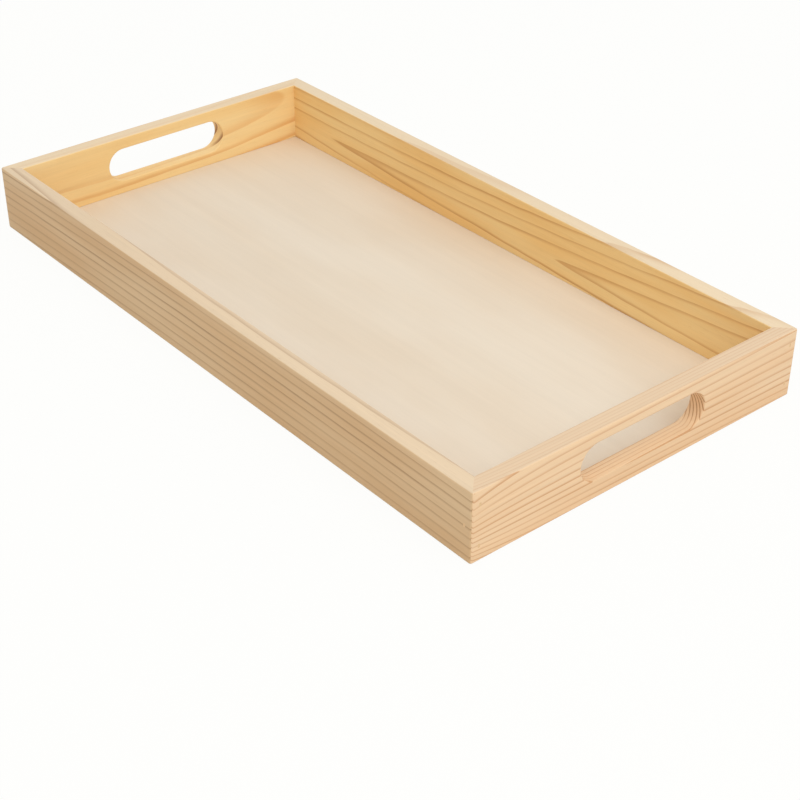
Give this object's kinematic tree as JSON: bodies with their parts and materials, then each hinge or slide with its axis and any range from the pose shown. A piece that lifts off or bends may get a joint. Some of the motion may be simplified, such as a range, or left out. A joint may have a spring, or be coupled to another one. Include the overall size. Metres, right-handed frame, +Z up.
{
  "type": "serving tray",
  "caption": "Low rectangular wooden serving tray: mitred pine boards round a thin plywood floor, with a rounded hand slot through each end board.",
  "frame": {"origin": "centre of the tray's footprint, on the surface that it stands on", "axes": "+X along the length towards one hand slot, +Y across the width, +Z up out of the open top"},
  "size_m": [0.48, 0.25, 0.045],
  "materials": {
    "pine": "planed and sanded bare pine, satin",
    "plywood_veneer": "sanded pale birch veneer, matt",
    "plywood_core": "raw rotary-cut core ply",
    "staple_steel": "galvanised wire, satin",
    "brad_steel": "galvanised wire, satin",
    "wood_putty": "sanded wood-flour putty, matt"
  },
  "bodies": {
    "root": {"front_side": "pine", "back_side": "pine", "right_end": "pine", "left_end": "pine", "floor_face_veneer": "plywood_veneer", "floor_core_veneer": "plywood_core", "floor_back_veneer": "plywood_veneer", "base_staples": "staple_steel", "corner_brads": "brad_steel", "filler_plugs": "wood_putty"}
  },
  "joints": []
}
